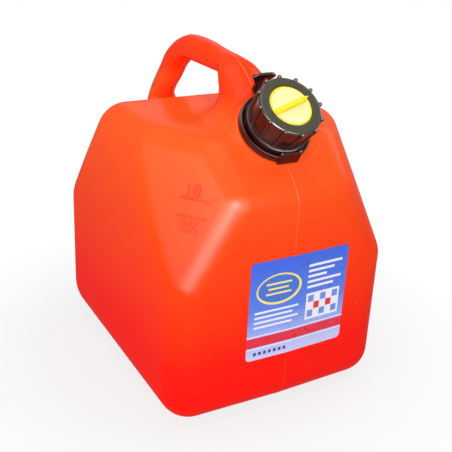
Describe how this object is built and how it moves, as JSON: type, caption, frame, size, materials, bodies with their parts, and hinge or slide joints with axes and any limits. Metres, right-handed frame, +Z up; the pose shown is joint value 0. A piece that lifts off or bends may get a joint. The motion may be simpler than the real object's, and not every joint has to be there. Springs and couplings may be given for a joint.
{
  "type": "gas can",
  "caption": "Blow-moulded fuel can with a moulded handle, a slanted neck, a ribbed screw collar over a stopper and an inverted pour spout, and a sliding safety lock ring.",
  "frame": {"origin": "on the ground under the middle of the can", "axes": "+X across the front to the viewer's right, +Y from the front to the rear, +Z up"},
  "size_m": [0.22, 0.2741, 0.3016],
  "materials": {
    "red_plastic": "satin",
    "label_film": "printed film",
    "black_plastic": "gloss",
    "yellow_plastic": "satin",
    "seal_rubber": "matt",
    "pale_plastic": "matt"
  },
  "bodies": {
    "tank": {"tank_shell": "red_plastic", "carry_handle": "red_plastic", "filler_neck": "red_plastic", "front_label": "label_film"},
    "lock": {"lock_ring": "black_plastic"},
    "closure": {"stopper_disc": "yellow_plastic", "stopper_gasket": "seal_rubber", "pour_spout": "yellow_plastic", "spout_gasket": "seal_rubber", "vent_tube": "pale_plastic"},
    "collar": {"screw_collar": "black_plastic"}
  },
  "joints": [
    {"name": "lock_slide", "type": "slide", "parent": "tank", "child": "lock", "axis": [0, -0.749, -0.6626], "range_m": [0, 0.0012], "stiffness_N_per_m": 1500},
    {"name": "closure_rise", "type": "slide", "parent": "tank", "child": "closure", "axis": [0, -0.6626, 0.749], "range_m": [0, 0.009]},
    {"name": "collar_turn", "type": "hinge", "parent": "closure", "child": "collar", "pos_m": [0, -0.0898, 0.2463], "axis": [0, -0.6626, 0.749], "range_deg": [0, 540]}
  ],
  "couplings": [
    {"joint": "closure_rise", "follows": "collar_turn", "m_per_rad": 0.00095493}
  ]
}
